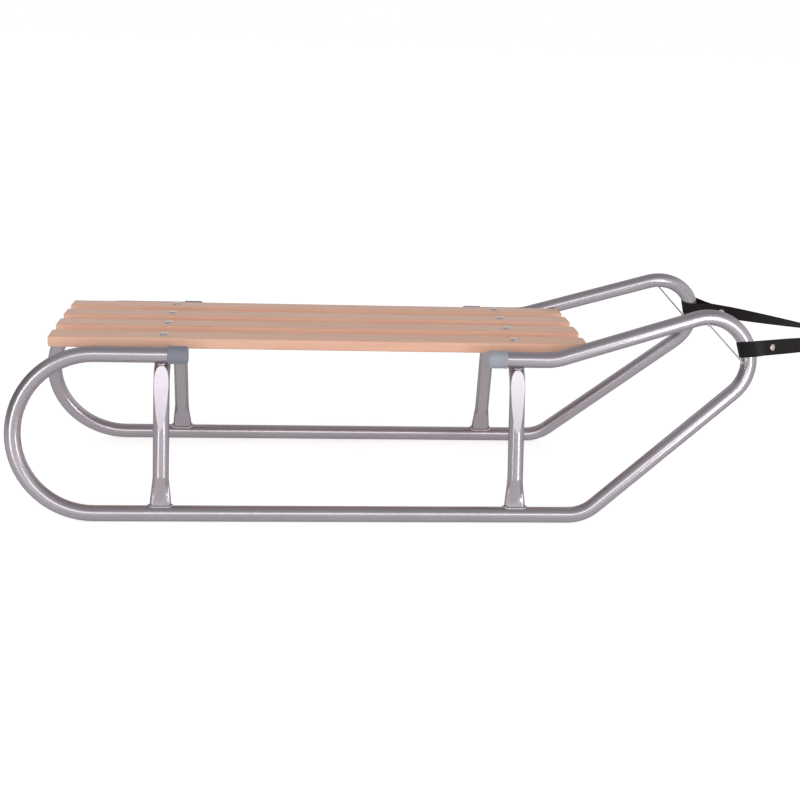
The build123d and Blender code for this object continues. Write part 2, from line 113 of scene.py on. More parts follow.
class NodeSheet:
    """A material's node tree, with short ways to add nodes and to join them."""

    def __init__(self, name: str) -> None:
        """Start a material that holds only its shader and its output."""
        self.material = bpy.data.materials.new(name)
        self.material.use_nodes = True
        self.tree = self.material.node_tree
        self.shader = self.tree.nodes["Principled BSDF"]

    @classmethod
    def of_world(cls, world: bpy.types.World) -> "NodeSheet":
        """A sheet over a world's own node tree."""
        sheet = cls.__new__(cls)
        sheet.tree = world.node_tree
        sheet.shader = sheet.tree.nodes["Background"]
        return sheet

    def node(
        self, kind: str, inputs: dict[str | int, Feed] | None = None, **settings: object
    ) -> bpy.types.Node:
        """Add a node.

        Args:
            kind: the node's type, without the prefix that all shader nodes share.
            inputs: what each named or numbered input gets.
            settings: the node's own properties.

        Returns:
            The new node.
        """
        made = self.tree.nodes.new("ShaderNode" + kind)
        for key, value in settings.items():
            setattr(made, key, value)
        for key, value in (inputs or {}).items():
            self.feed(made.inputs[key], value)
        return made

    def feed(self, socket: bpy.types.NodeSocket, value: Feed) -> None:
        """Give an input a value, or join an output to it."""
        if isinstance(value, bpy.types.Node):
            value = value.outputs[0]
        if isinstance(value, bpy.types.NodeSocket):
            self.tree.links.new(value, socket)
        else:
            socket.default_value = value

    def set(self, **values: Feed) -> None:
        """Feed the shader's inputs, whose names are written with underscores."""
        for key, value in values.items():
            self.feed(self.shader.inputs[key.replace("_", " ")], value)

    def object_place(
        self, scale: Sequence[float] = (1, 1, 1), shift: Sequence[float] = (0, 0, 0)
    ) -> bpy.types.Node:
        """Coordinates on the piece itself, in metres times the scale."""
        place = self.node("TexCoord")
        return self.node("Mapping", {"Vector": place.outputs["Object"], "Scale": scale, "Location": shift})

    def noise(
        self, place: Feed, scale: float, detail: float = 2.0, roughness: float = 0.5
    ) -> bpy.types.NodeSocket:
        """A cloudy pattern from 0 to 1."""
        inputs = {"Vector": place, "Scale": scale, "Detail": detail, "Roughness": roughness}
        return self.node("TexNoise", inputs).outputs[0]

    def ramp(self, factor: Feed, stops: Sequence[tuple[float, Colour]]) -> bpy.types.NodeSocket:
        """A colour that changes with a factor through the given stops.

        Args:
            factor: what the colour follows, from 0 to 1.
            stops: the place and the colour of each stop.

        Returns:
            The colour output.
        """
        made = self.node("ValToRGB", {0: factor})
        elements = made.color_ramp.elements
        for index, (position, colour) in enumerate(stops):
            element = elements[index] if index < 2 else elements.new(position)
            element.position = position
            element.color = colour
        return made.outputs[0]

    def mix(self, factor: Feed, first: Feed, second: Feed, blend: str = "MIX") -> bpy.types.NodeSocket:
        """One colour blended into another.

        Args:
            factor: how much of the second colour there is, from 0 to 1.
            first, second: the two colours.
            blend: how they are blended.

        Returns:
            The blended colour's output.
        """
        made = self.node("Mix", data_type="RGBA", blend_type=blend)
        for socket, value in zip((made.inputs[0], made.inputs[6], made.inputs[7]), (factor, first, second)):
            self.feed(socket, value)
        return made.outputs[2]

    def math(self, operation: str, first: Feed, second: Feed = 0.0, third: Feed = 0.0) -> bpy.types.Node:
        """One step of arithmetic."""
        return self.node("Math", {0: first, 1: second, 2: third}, operation=operation)

    def span(self, factor: Feed, low: float, high: float) -> bpy.types.NodeSocket:
        """A factor from 0 to 1 stretched over another range."""
        return self.node("MapRange", {"Value": factor, "To Min": low, "To Max": high}).outputs[0]

    def bump(self, height: Feed, depth: float, under: Feed | None = None) -> bpy.types.Node:
        """A relief of the given depth in metres, on top of another one.

        Args:
            height: the relief's height, from 0 to 1.
            depth: how far 1 stands over 0.
            under: the relief below it.

        Returns:
            The node that gives the new normal.
        """
        inputs: dict[str | int, Feed] = {"Height": height, "Distance": depth, "Strength": 1.0}
        if under is not None:
            inputs["Normal"] = under
        return self.node("Bump", inputs)


@dataclass(frozen=True)
class SilverPaint:
    """Silver lacquer with fine metal flake, sprayed over steel tube and its welds."""

    name: str = "silver_paint"
    tone: Colour = shade(182, 176, 183)
    shadow_tone: Colour = shade(162, 155, 161)
    edge: Colour = shade(150, 142, 150)
    roughness: float = 0.25
    peel: float = 0.02 * MM
    metal: float = 0.85
    clear_coat: float = 0.1

    def material(self) -> bpy.types.Material:
        """Build the finish."""
        sheet = NodeSheet(self.name)
        place = sheet.object_place()
        cloud = sheet.noise(place, 9.0, 3.0)
        flake = sheet.node("TexVoronoi", {"Vector": place, "Scale": 1600.0}).outputs["Color"]
        grey = sheet.node("RGBToBW", {0: flake}).outputs[0]
        base = sheet.mix(sheet.span(cloud, 0.0, 0.7), self.tone, self.shadow_tone)
        sparkle = sheet.ramp(grey, [(0.15, (0.86, 0.86, 0.86, 1)), (0.85, (1.0, 1.0, 1.0, 1))])
        colour = sheet.mix(0.6, base, sparkle, "MULTIPLY")
        wipe = sheet.noise(sheet.object_place((1.0, 6.0, 6.0)), 22.0, 4.0)
        peel = sheet.bump(sheet.noise(place, 420.0, 2.0), self.peel)
        dust = sheet.bump(sheet.noise(place, 60.0, 3.0), 1.2 * self.peel, peel)
        roughness = sheet.span(wipe, self.roughness - 0.03, self.roughness + 0.05)
        sheet.set(Base_Color=colour, Metallic=self.metal, Roughness=roughness, Normal=dust)
        sheet.set(Coat_Weight=self.clear_coat, Coat_Roughness=0.16, Specular_Tint=self.edge)
        return sheet.material


@dataclass(frozen=True)
class LacqueredBoard:
    """Pale close-grained hardwood under clear satin lacquer."""

    name: str
    seed: float
    early: Colour = shade(240, 197, 174)
    late: Colour = shade(229, 178, 154)
    fleck: Colour = shade(192, 144, 120)
    warm: Colour = shade(236, 189, 160)

    def material(self) -> bpy.types.Material:
        """Build the finish; each board has its own cut of the grain."""
        sheet = NodeSheet(self.name)
        shift = (self.seed * 3.7, self.seed * 0.61, self.seed * 0.23)
        bend = sheet.noise(sheet.object_place((0.9, 6.0, 6.0), shift), 2.2, 2.0)
        figure_place = sheet.object_place((0.35, 26.0, 20.0), shift)
        wander = sheet.node("VectorMath", {0: figure_place, 1: bend}, operation="ADD")
        figure = sheet.noise(wander, 2.4, 4.0, 0.6)
        streak = sheet.noise(sheet.object_place((2.2, 210.0, 210.0), shift), 3.0, 3.0, 0.6)
        fleck_place = sheet.object_place((150.0, 1250.0, 1250.0), shift)
        fleck = sheet.node("TexVoronoi", {"Vector": fleck_place, "Scale": 1.0}).outputs["Distance"]
        fleck_mask = sheet.ramp(fleck, [(0.10, (1, 1, 1, 1)), (0.26, (0, 0, 0, 1))])
        grown = sheet.ramp(figure, [(0.34, self.early), (0.66, self.late)])
        streaked = sheet.mix(sheet.span(streak, 0.0, 0.34), grown, self.late)
        patch = sheet.noise(sheet.object_place((3.0, 9.0, 9.0), shift), 1.6, 2.0)
        warmed = sheet.mix(sheet.span(patch, 0.0, 0.34), streaked, self.warm)
        flecked = sheet.mix(sheet.math("MULTIPLY", fleck_mask, 0.34), warmed, self.fleck)
        pores = sheet.bump(fleck_mask, -0.035 * MM)
        relief = sheet.bump(streak, 0.05 * MM, pores)
        sheet.set(Base_Color=flecked, Roughness=sheet.span(streak, 0.38, 0.5), Normal=relief)
        sheet.set(Coat_Weight=0.05, Coat_Roughness=0.28, Specular_IOR_Level=0.22)
        return sheet.material


@dataclass(frozen=True)
class ZincPlate:
    """Bright zinc on the bolts and nuts, with its faint bluish bloom."""

    name: str = "zinc_plate"
    bright: Colour = shade(206, 208, 212)
    bloom: Colour = shade(178, 182, 190)

    def material(self) -> bpy.types.Material:
        """Build the finish."""
        sheet = NodeSheet(self.name)
        place = sheet.object_place()
        cloud = sheet.noise(place, 160.0, 3.0)
        colour = sheet.mix(cloud, self.bright, self.bloom)
        grain = sheet.noise(place, 2400.0, 2.0)
        relief = sheet.bump(grain, 0.02 * MM)
        sheet.set(Base_Color=colour, Metallic=1.0, Roughness=sheet.span(cloud, 0.12, 0.24), Normal=relief)
        return sheet.material


@dataclass(frozen=True)
class CapPlastic:
    """Moulded blue-grey polythene with a fine satin texture."""

    name: str
    tone: Colour
    pale: Colour

    def material(self) -> bpy.types.Material:
        """Build the finish."""
        sheet = NodeSheet(self.name)
        place = sheet.object_place()
        cloud = sheet.noise(place, 70.0, 3.0)
        colour = sheet.mix(sheet.span(cloud, 0.0, 0.6), self.tone, self.pale)
        grain = sheet.noise(place, 1500.0, 2.0)
        relief = sheet.bump(grain, 0.03 * MM)
        rough = sheet.span(cloud, 0.42, 0.56)
        sheet.set(Base_Color=colour, Roughness=rough, Normal=relief)
        sheet.set(Specular_IOR_Level=0.4)
        return sheet.material


@dataclass(frozen=True)
class DrawnSteel:
    """Smooth bare metal of the wires and rivets, with lengthways drawing marks."""

    name: str
    tone: Colour
    dull: Colour
    roughness: float = 0.26

    def material(self) -> bpy.types.Material:
        """Build the finish."""
        sheet = NodeSheet(self.name)
        place = sheet.object_place()
        cloud = sheet.noise(place, 240.0, 3.0)
        scratch = sheet.noise(sheet.object_place((300.0, 300.0, 2400.0)), 1.0, 2.0)
        colour = sheet.mix(sheet.span(cloud, 0.0, 0.8), self.tone, self.dull)
        relief = sheet.bump(scratch, 0.012 * MM)
        rough = sheet.span(scratch, self.roughness - 0.06, self.roughness + 0.14)
        sheet.set(Base_Color=colour, Metallic=1.0, Roughness=rough, Normal=relief)
        return sheet.material


@dataclass(frozen=True)
class Webbing:
    """Black woven webbing; its weave follows the band's own UV map, which is in metres. The hollows of the
    weave are coloured darker: painted shade.
    """

    name: str = "black_webbing"
    yarn: Colour = shade(27, 22, 25)
    shade_yarn: Colour = shade(12, 9, 11)
    worn_yarn: Colour = shade(38, 31, 33)
    warp_pitch: float = 1.25 * MM
    weft_pitch: float = 1.7 * MM

    def material(self) -> bpy.types.Material:
        """Build the finish."""
        sheet = NodeSheet(self.name)
        band = sheet.node("TexCoord").outputs["UV"]
        split = sheet.node("SeparateXYZ", {0: band})
        along = sheet.math("MULTIPLY", split.outputs[0], math.tau / self.weft_pitch)
        across = sheet.math("MULTIPLY", split.outputs[1], math.pi / self.warp_pitch)
        rib = sheet.math("ABSOLUTE", sheet.math("SINE", across))
        row = sheet.math("FLOOR", sheet.math("DIVIDE", across, math.pi))
        stagger = sheet.math("MULTIPLY_ADD", row, math.pi, along)
        pick = sheet.math("MULTIPLY_ADD", sheet.math("SINE", stagger), 0.5, 0.5)
        height = sheet.math("MULTIPLY", rib, sheet.math("MULTIPLY_ADD", pick, 0.7, 0.3))
        wear_place = sheet.node("Mapping", {"Vector": band, "Scale": (60.0, 260.0, 1.0)})
        wear = sheet.noise(wear_place, 1.0, 3.0)
        # painted shade: the low parts of the weave get a darker yarn colour
        thread = sheet.mix(height, self.shade_yarn, self.yarn)
        # real wear, laid over the painted shade of the weave
        worn_and_weave_shade = sheet.mix(sheet.span(wear, 0.0, 0.5), thread, self.worn_yarn)
        fuzz = sheet.noise(sheet.node("Mapping", {"Vector": band, "Scale": (5000.0, 2500.0, 1.0)}), 1.0, 1.0)
        fibre = sheet.bump(fuzz, 0.05 * MM)
        relief = sheet.bump(height, 0.28 * MM, fibre)
        sheet.set(Base_Color=worn_and_weave_shade, Roughness=sheet.span(height, 0.86, 0.6), Normal=relief)
        sheet.set(Sheen_Weight=0.03, Sheen_Roughness=0.5, Specular_IOR_Level=0.2)
        return sheet.material


# ---- the modelling bench ---------------------------------------------------------------------


class Bench:
    """Ways to add, shape and finish a mesh that every sub-assembly shares."""

    @staticmethod
    def take(*pieces: bpy.types.Object) -> None:
        """Select only these pieces and make the first one active."""
        bpy.ops.object.select_all(action="DESELECT")
        for piece in pieces:
            piece.select_set(True)
        bpy.context.view_layer.objects.active = pieces[0]

    @staticmethod
    def settle(piece: bpy.types.Object, place: Matrix) -> None:
        """Move a finished piece to its place and leave its object at the origin.

        Args:
            piece: the piece, drawn round the origin.
            place: where it goes; a mirroring place turns the faces back outwards.
        """
        piece.data.transform(place)
        if place.determinant() < 0:
            piece.data.flip_normals()
        piece.data.update()

    @staticmethod
    def copy(piece: bpy.types.Object, name: str, place: Matrix) -> bpy.types.Object:
        """A copy with its own mesh, moved by a matrix.

        Args:
            piece: the piece to copy.
            name: the copy's name.
            place: where the copy goes.

        Returns:
            The copy.
        """
        twin = piece.copy()
        twin.data = piece.data.copy()
        twin.name = twin.data.name = name
        bpy.context.scene.collection.objects.link(twin)
        Bench.settle(twin, place)
        return twin

    @staticmethod
    def modify(piece: bpy.types.Object, kind: str, **settings: object) -> None:
        """Add a modifier, set it and apply it.

        Args:
            piece: the piece to change.
            kind: the modifier's type.
            settings: the modifier's own properties.
        """
        Bench.take(piece)
        modifier = piece.modifiers.new(kind.lower(), kind)
        for key, value in settings.items():
            setattr(modifier, key, value)
        bpy.ops.object.modifier_apply(modifier=modifier.name)

    @staticmethod
    def smooth(piece: bpy.types.Object, degrees: float = 35.0) -> None:
        """Shade smooth, apart from edges sharper than an angle."""
        Bench.take(piece)
        bpy.ops.object.shade_smooth_by_angle(angle=math.radians(degrees))

    @staticmethod
    def pick_edges(piece: bpy.types.Object, test: Callable[[Vector, Vector], bool]) -> None:
        """Select the edges whose two ends pass a test, and enter edit mode.

        Args:
            piece: the piece to pick from.
            test: says whether the edge between two points is picked.
        """
        Bench.take(piece)
        bpy.ops.object.mode_set(mode="EDIT")
        bpy.ops.mesh.select_mode(type="EDGE")
        bpy.ops.mesh.select_all(action="DESELECT")
        bpy.ops.object.mode_set(mode="OBJECT")
        points = piece.data.vertices
        for edge in piece.data.edges:
            first, second = edge.vertices
            edge.select = test(points[first].co, points[second].co)
        bpy.ops.object.mode_set(mode="EDIT")

    @staticmethod
    def cut(piece: bpy.types.Object, place: Vector, direction: Vector) -> None:
        """Cut off what lies beyond a plane, and close the cut.

        Args:
            piece: the piece to cut.
            place: a point on the plane.
            direction: the side of the plane that is cut off.
        """
        Bench.take(piece)
        bpy.ops.object.mode_set(mode="EDIT")
        bpy.ops.mesh.select_all(action="SELECT")
        bpy.ops.mesh.bisect(plane_co=place, plane_no=direction, use_fill=True, clear_outer=True)
        bpy.ops.object.mode_set(mode="OBJECT")

    @staticmethod
    def turned(name: str, rings: Sequence[Ring], segments: int = 48) -> bpy.types.Object:
        """A turned piece on the Z axis: a disc drawn out ring by ring.

        Args:
            name: the piece's name.
            rings: the radius and height of each ring, from the first closed end to the last.
            segments: how many sides the piece has.

        Returns:
            The closed mesh.
        """
        radius, height = rings[0]
        bpy.ops.object.select_all(action="DESELECT")
        bpy.ops.mesh.primitive_circle_add(
            vertices=segments, radius=radius, fill_type="NGON", location=(0, 0, 0)
        )
        piece = bpy.context.object
        piece.name = piece.data.name = name
        bpy.ops.object.mode_set(mode="EDIT")
        bpy.ops.mesh.select_all(action="SELECT")
        bpy.ops.transform.translate(value=(0, 0, height))
        for next_radius, next_height in rings[1:]:
            rise = {"value": (0, 0, next_height - height)}
            bpy.ops.mesh.extrude_region_move(TRANSFORM_OT_translate=rise)
            ratio = next_radius / radius
            bpy.ops.transform.resize(value=(ratio, ratio, 1))
            radius, height = next_radius, next_height
        bpy.ops.mesh.select_all(action="SELECT")
        bpy.ops.mesh.normals_make_consistent(inside=False)
        bpy.ops.object.mode_set(mode="OBJECT")
        Bench.smooth(piece)
        return piece

    @staticmethod
    def dress(piece: bpy.types.Object, material: bpy.types.Material) -> None:
        """Give a piece one finish all over."""
        if len(piece.material_slots) == 0:
            piece.data.materials.append(material)
        for slot in piece.material_slots:
            slot.material = material


def frame_matrix(origin: Vector, x_axis: Vector, y_axis: Vector) -> Matrix:
    """The placing matrix for a local frame.

    Args:
        origin: where the local origin goes.
        x_axis: the local X direction.
        y_axis: the rough local Y direction, which is squared up to X.

    Returns:
        A right-handed matrix with no scale.
    """
    x = x_axis.normalized()
    z = x.cross(y_axis).normalized()
    y = z.cross(x)
    return Matrix.Translation(origin) @ Matrix((x, y, z)).transposed().to_4x4()


MIRROR = Matrix.Scale(-1, 4, (0, 1, 0))


# ---- camera and studio -----------------------------------------------------------------------


@dataclass
class ProductCamera:
    """The camera to the sled's right, a little above it and level with its middle."""

    position: Vector = field(default_factory=lambda: Vector((-0.15309, -2.06317, 0.78359)))
    yaw: float = 0.08826
    pitch: float = 0.25371
    roll: float = 0.03745
    lens: float = 56.75
    shift_y: float = -0.075

    def build(self) -> bpy.types.Object:
        """Make the camera and put the scene in its charge."""
        forward = Vector(
            (
                math.sin(self.yaw) * math.cos(self.pitch),
                math.cos(self.yaw) * math.cos(self.pitch),
                -math.sin(self.pitch),
            )
        )
        level = Vector((math.cos(self.yaw), -math.sin(self.yaw), 0.0))
        upright = level.cross(forward)
        right = level * math.cos(self.roll) + upright * math.sin(self.roll)
        up = upright * math.cos(self.roll) - level * math.sin(self.roll)
        data = bpy.data.cameras.new("product_camera")
        data.lens = self.lens
        data.sensor_width = 36.0
        data.shift_y = self.shift_y
        data.clip_end = 60.0
        camera = bpy.data.objects.new("product_camera", data)
        turn = Matrix((right, up, -forward)).transposed().to_4x4()
        camera.matrix_world = Matrix.Translation(self.position) @ turn
        bpy.context.scene.collection.objects.link(camera)
        bpy.context.scene.camera = camera
        return camera


@dataclass(frozen=True)
class Softbox:
    """One soft studio lamp."""

    name: str
    position: tuple[float, float, float]
    aim: tuple[float, float, float]
    size: tuple[float, float]
    power: float

    def build(self) -> None:
        """Hang the lamp and turn it to its aim."""
        data = bpy.data.lights.new(self.name, "AREA")
        data.shape = "RECTANGLE"
        data.size, data.size_y = self.size
        data.energy = self.power
        lamp = bpy.data.objects.new(self.name, data)
        lamp.location = self.position
        lamp.rotation_euler = (Vector(self.aim) - Vector(self.position)).to_track_quat("-Z", "Y").to_euler()
        bpy.context.scene.collection.objects.link(lamp)


@dataclass
class Studio:
    """A pale floor, a white surround that is darker overhead and aside, and three soft lamps."""

    floor_size: float = 60.0
    floor_glow: float = 0.6
    floor_glow_in_gloss: float = 0.34
    floor_tone: Colour = (0.8, 0.8, 0.8, 1.0)
    rim_height: float = 0.42
    dark_height: float = 0.86
    side_reach: float = 0.08
    overhead: float = 0.2
    overhead_in_gloss: float = 0.42
    far_left_in_gloss: float = 0.2
    lamps: tuple[Softbox, ...] = (
        Softbox("left_strip", (-0.98, -1.1, 0.3), (-0.2, -0.15, 0.2), (0.16, 0.56), 1.8),
        Softbox("right_strip", (0.88, -1.16, 0.3), (0.1, -0.15, 0.2), (0.16, 0.56), 3.3),
        Softbox("front_softbox", (0.0, -2.67, 1.16), (0.0, 0.0, 0.15), (2.4, 0.42), 10.5),
    )

    def build(self) -> None:
        """Lay the floor, set the surround and hang the lamps."""
        scene = bpy.context.scene
        scene.view_settings.view_transform = "Standard"
        self._floor()
        self._surround()
        for lamp in self.lamps:
            lamp.build()

    @staticmethod
    def _mirrored(sheet: NodeSheet, path: bpy.types.Node) -> bpy.types.Node:
        """1 for what is seen in a gloss or through glass, and 0 for the rest."""
        return sheet.math("MAXIMUM", path.outputs["Is Glossy Ray"], path.outputs["Is Transmission Ray"])

    def _floor(self) -> None:
        """The floor glows white to the eye, and keeps the sled's soft shadow."""
        bpy.ops.object.select_all(action="DESELECT")
        bpy.ops.mesh.primitive_plane_add(size=self.floor_size, location=(0, 0, 0))
        floor = bpy.context.object
        floor.name = floor.data.name = "studio_floor"
        sheet = NodeSheet("studio_floor")
        sheet.set(Base_Color=self.floor_tone, Roughness=0.9, Specular_IOR_Level=0.0)
        sheet.set(Emission_Color=(1.0, 1.0, 1.0, 1.0))
        path = sheet.node("LightPath")
        in_gloss = sheet.math("MULTIPLY", self._mirrored(sheet, path), self.floor_glow_in_gloss)
        straight = sheet.math("MULTIPLY", path.outputs["Is Camera Ray"], self.floor_glow)
        sheet.set(Emission_Strength=sheet.math("MAXIMUM", straight, in_gloss))
        Bench.dress(floor, sheet.material)

    def _surround(self) -> None:
        """The surround is white to the eye; overhead and far to one side it is darker in a gloss."""
        world = bpy.data.worlds.new("studio_surround")
        bpy.context.scene.world = world
        world.use_nodes = True
        sheet = NodeSheet.of_world(world)
        path = sheet.node("LightPath")
        mirrored = self._mirrored(sheet, path)
        overhead = sheet.span(mirrored, self.overhead, self.overhead_in_gloss)
        aim = sheet.node("SeparateXYZ", {0: sheet.node("TexCoord").outputs["Generated"]})
        above = self._fade(sheet, aim.outputs[2], overhead)
        backwards = sheet.math("SUBTRACT", self.side_reach, aim.outputs[0])
        aside = self._fade(sheet, backwards, sheet.span(mirrored, 1.0, self.far_left_in_gloss))
        light = sheet.math("MINIMUM", above, aside)
        seen = sheet.math("MAXIMUM", light, path.outputs["Is Camera Ray"])
        sheet.feed(sheet.shader.inputs["Strength"], seen)
        sheet.feed(sheet.shader.inputs["Color"], (1.0, 1.0, 1.0, 1.0))

    def _fade(self, sheet: NodeSheet, away: Feed, dark: Feed) -> bpy.types.NodeSocket:
        """A level that falls from 1 to a darker one between the rim and the dark part.

        Args:
            sheet: the surround's nodes.
            away: how far a direction is from the bright part.
            dark: the level in the dark part.

        Returns:
            The level's output.
        """
        fade = {"Value": away, "From Min": self.rim_height, "From Max": self.dark_height, "To Min": 1.0}
        fade["To Max"] = dark
        return sheet.node("MapRange", fade).outputs[0]


# ---- pull strap ------------------------------------------------------------------------------


@dataclass
class PullStrap:
    """Two webbing legs folded round the front curls, and the hand loop where they meet.

    The right leg is drawn in its own frame: X along the leg from the middle of the tube, Y towards
    the middle of the sled, and Z up the band. The left side is the right side mirrored.
    """

    tube_point: Vector = field(default_factory=lambda: Vector((0.57830, -0.15294, 0.27939)))
    meeting: Vector = field(default_factory=lambda: Vector((0.86330, 0.0, 0.26239)))
    tube_up: Vector = field(default_factory=lambda: Vector((-0.2588, 0.1677, 0.9513)))
    width: float = 25 * MM
    thickness: float = 1.5 * MM
    edge_round: float = 0.4 * MM
    wrap_radius: float = 15.104 * MM
    pinch: float = 36 * MM
    rivet_station: float = 57 * MM
    tail: float = 71 * MM
    flat_length: float = 36 * MM
    twist: float = 1.2634
    loop_length: float = 95 * MM
    loop_radius: float = 15.75 * MM
    loop_lap: float = 24 * MM
    lap_offset: float = 1.7 * MM
    loop_rivet_back: float = 12 * MM
    loop_rivet_half_spread: float = 6.5 * MM
    row_spacing: float = 1.5 * MM
    mitre_half_gap: float = 0.15 * MM
    leg_overrun: float = 6 * MM

    def __post_init__(self) -> None:
        """Work out the frames of the leg and of the hand loop."""
        self.run = (self.meeting - self.tube_point).normalized()
        self.inwards = self.tube_up.cross(self.run).normalized()
        self.leg_frame = frame_matrix(self.tube_point, self.run, self.inwards)
        forward = Vector((self.meeting.x - self.tube_point.x, 0, self.meeting.z - self.tube_point.z))
        self.forward = forward.normalized()
        self.flat_up = Vector((0, 1, 0)).cross(-self.forward)
        self.finish = Webbing().material()
        self.rivet_finish = DrawnSteel("rivet_steel", shade(214, 196, 190), shade(176, 158, 152)).material()

    def leg_route(self) -> list[Vector]:
        """The leg's line: pulled straight from its rivet to the hand loop."""
        start = self.leg_frame @ Vector((self.rivet_station, -self.thickness / 2, 0))
        return [start, start.lerp(self.meeting, 0.5), self.meeting]

    @staticmethod
    def _line_of(name: str, route: Iterable[Vector]) -> list[Vector]:
        """The points of a smooth spline through a route.

        Args:
            name: a name for the spline while it is read.
            route: its control points.

        Returns:
            Points along the spline.
        """
        points = list(route)
        curve = bpy.data.curves.new(name, "CURVE")
        curve.dimensions = "3D"
        spline = curve.splines.new("NURBS")
        spline.points.add(len(points) - 1)
        for target, point in zip(spline.points, points):
            target.co = (*point, 1.0)
        spline.order_u = 3
        spline.use_endpoint_u = True
        curve.resolution_u = 24
        holder = bpy.data.objects.new(name, curve)
        mesh = bpy.data.meshes.new_from_object(holder)
        line = [vertex.co.copy() for vertex in mesh.vertices]
        bpy.data.meshes.remove(mesh)
        bpy.data.objects.remove(holder)
        bpy.data.curves.remove(curve)
        return line

    def _flat_band(self, name: str, start: float, length: float) -> bpy.types.Object:
        """A straight band on the X axis with its width along Z and rounded long edges.

        Args:
            name: the piece's name.
            start: the X of its first end, which is also where its weave begins.
            length: how long it is.

        Returns:
            The band, with a UV map in metres.
        """
        rows = max(8, round(length / self.row_spacing))
        bpy.ops.object.select_all(action="DESELECT")
        bpy.ops.mesh.primitive_grid_add(
            x_subdivisions=rows, y_subdivisions=8, size=1, rotation=(math.pi / 2, 0, 0), calc_uvs=True
        )
        band = bpy.context.object
        band.name = band.data.name = name
        band.scale = (length, self.width, 1)
        bpy.ops.object.transform_apply(location=True, rotation=True, scale=True)
        Bench.settle(band, Matrix.Translation((start + length / 2, 0, 0)))
        for corner in band.data.uv_layers[0].data:
            corner.uv = (start + corner.uv.x * length, corner.uv.y * self.width)
        Bench.modify(band, "SOLIDIFY", thickness=self.thickness, offset=0.0)
        rim = self.width / 2 - 0.01 * MM
        Bench.pick_edges(
            band, lambda a, b: abs(a.z) > rim and abs(b.z) > rim and abs(a.x - b.x) > 0.1 * MM
        )
        bpy.ops.mesh.bevel(offset=self.edge_round, segments=2)
        bpy.ops.object.mode_set(mode="OBJECT")
        return band

    @staticmethod
    def _fold(band: bpy.types.Object, radius: float, reach: float, half_gap: float, tails: Ring) -> None:
        """Bend a straight band round a bar and bring its two ends together.

        Args:
            band: the straight band, which starts at X 0.
            radius: of the turn, at the middle of the band.
            reach: how far from the bar the two layers come together.
            half_gap: half the distance between the layers there.
            tails: the X of the band's first end and of its last one.
        """
        spline_points = PullStrap._fold_points(radius, reach, half_gap, tails)
        curve = bpy.data.curves.new("fold", "CURVE")
        curve.dimensions = "2D"
        curve.resolution_u = 32
        spline = curve.splines.new("BEZIER")
        spline.bezier_points.add(len(spline_points) - 1)
        for target, (before, middle, after) in zip(spline.bezier_points, spline_points):
            target.handle_left_type = target.handle_right_type = "FREE"
            target.co = (*middle, 0)
            target.handle_left = (*before, 0)
            target.handle_right = (*after, 0)
        holder = bpy.data.objects.new("fold", curve)
        bpy.context.scene.collection.objects.link(holder)
        scale = spline.calc_length() / max(vertex.co.x for vertex in band.data.vertices)
        band.data.transform(Matrix.Scale(scale, 4, (1, 0, 0)))
        Bench.modify(band, "CURVE", object=holder, deform_axis="POS_X")
        bpy.data.objects.remove(holder)
        bpy.data.curves.remove(curve)

    @staticmethod
    def _fold_points(
        radius: float, reach: float, half_gap: float, tails: Ring
    ) -> list[tuple[tuple[float, float], tuple[float, float], tuple[float, float]]]:
        """The places that a folded band passes.

        Args:
            radius: of the turn, at the middle of the band.
            reach: how far from the bar the two layers come together.
            half_gap: half the distance between the layers there.
            tails: the X of the band's first end and of its last one.

        Returns:
            The handle before, the point and the handle after, for each place.
        """
        lean = math.acos((radius - half_gap) / reach)
        slope = (-math.sin(lean), math.cos(lean))
        ease = reach / 6
        inner_x = reach + ease / 2
        step = (math.tau - 2 * lean) / 3
        pull = 4 / 3 * math.tan(step / 4) * radius
        points = [
            ((tails[0], half_gap), (tails[0], half_gap), (tails[0] - ease / 3, half_gap)),
            ((inner_x + ease, half_gap), (inner_x, half_gap), (inner_x - ease, half_gap)),
        ]
        for index in range(4):
            angle = lean + index * step
            across, up = math.cos(angle), math.sin(angle)
            middle = (radius * across, radius * up)
            before = (middle[0] + up * pull, middle[1] - across * pull)
            after = (middle[0] - up * pull, middle[1] + across * pull)
            if index == 0:
                before = (middle[0] - slope[0] * ease, middle[1] - slope[1] * ease)
            if index == 3:
                after = (middle[0] - slope[0] * ease, middle[1] + slope[1] * ease)
            points.append((before, middle, after))
        points.append(((inner_x - ease, -half_gap), (inner_x, -half_gap), (inner_x + ease, -half_gap)))
        points.append(((tails[1] - ease / 3, -half_gap), (tails[1], -half_gap), (tails[1], -half_gap)))
        return points

    @staticmethod
    def _fold_length(radius: float, reach: float, half_gap: float, tails: Ring) -> float:
        """How much band a fold takes, which keeps its weave at its true size."""
        lean = math.acos((radius - half_gap) / reach)
        tangent = reach * math.sin(lean)
        return (math.tau - 2 * lean) * radius + 2 * tangent + sum(tails) - 2 * reach

    def _leg(self) -> bpy.types.Object:
        """The right leg: upright at the curl, twisted once on the way and flat at the hand loop."""
        route = self.leg_route()
        direction = (route[-1] - route[0]).normalized()
        length = (route[-1] - route[0]).length
        twist_start = self.tail - self.rivet_station
        band = self._flat_band("strap_leg_right", -twist_start, length + self.width)
        full = length + self.width
        limits = (twist_start / full, (length - self.flat_length) / full)
        Bench.modify(
            band, "SIMPLE_DEFORM", deform_method="TWIST", deform_axis="X", angle=-self.twist, limits=limits
        )
        place = frame_matrix(route[0] + direction * twist_start, direction, self.inwards)
        Bench.settle(band, place)
        Bench.cut(band, Vector((0, -self.mitre_half_gap, 0)), Vector((0, 1, 0)))
        Bench.cut(band, self.meeting + self.forward * self.leg_overrun, self.forward)
        Bench.smooth(band, 50)
        return band

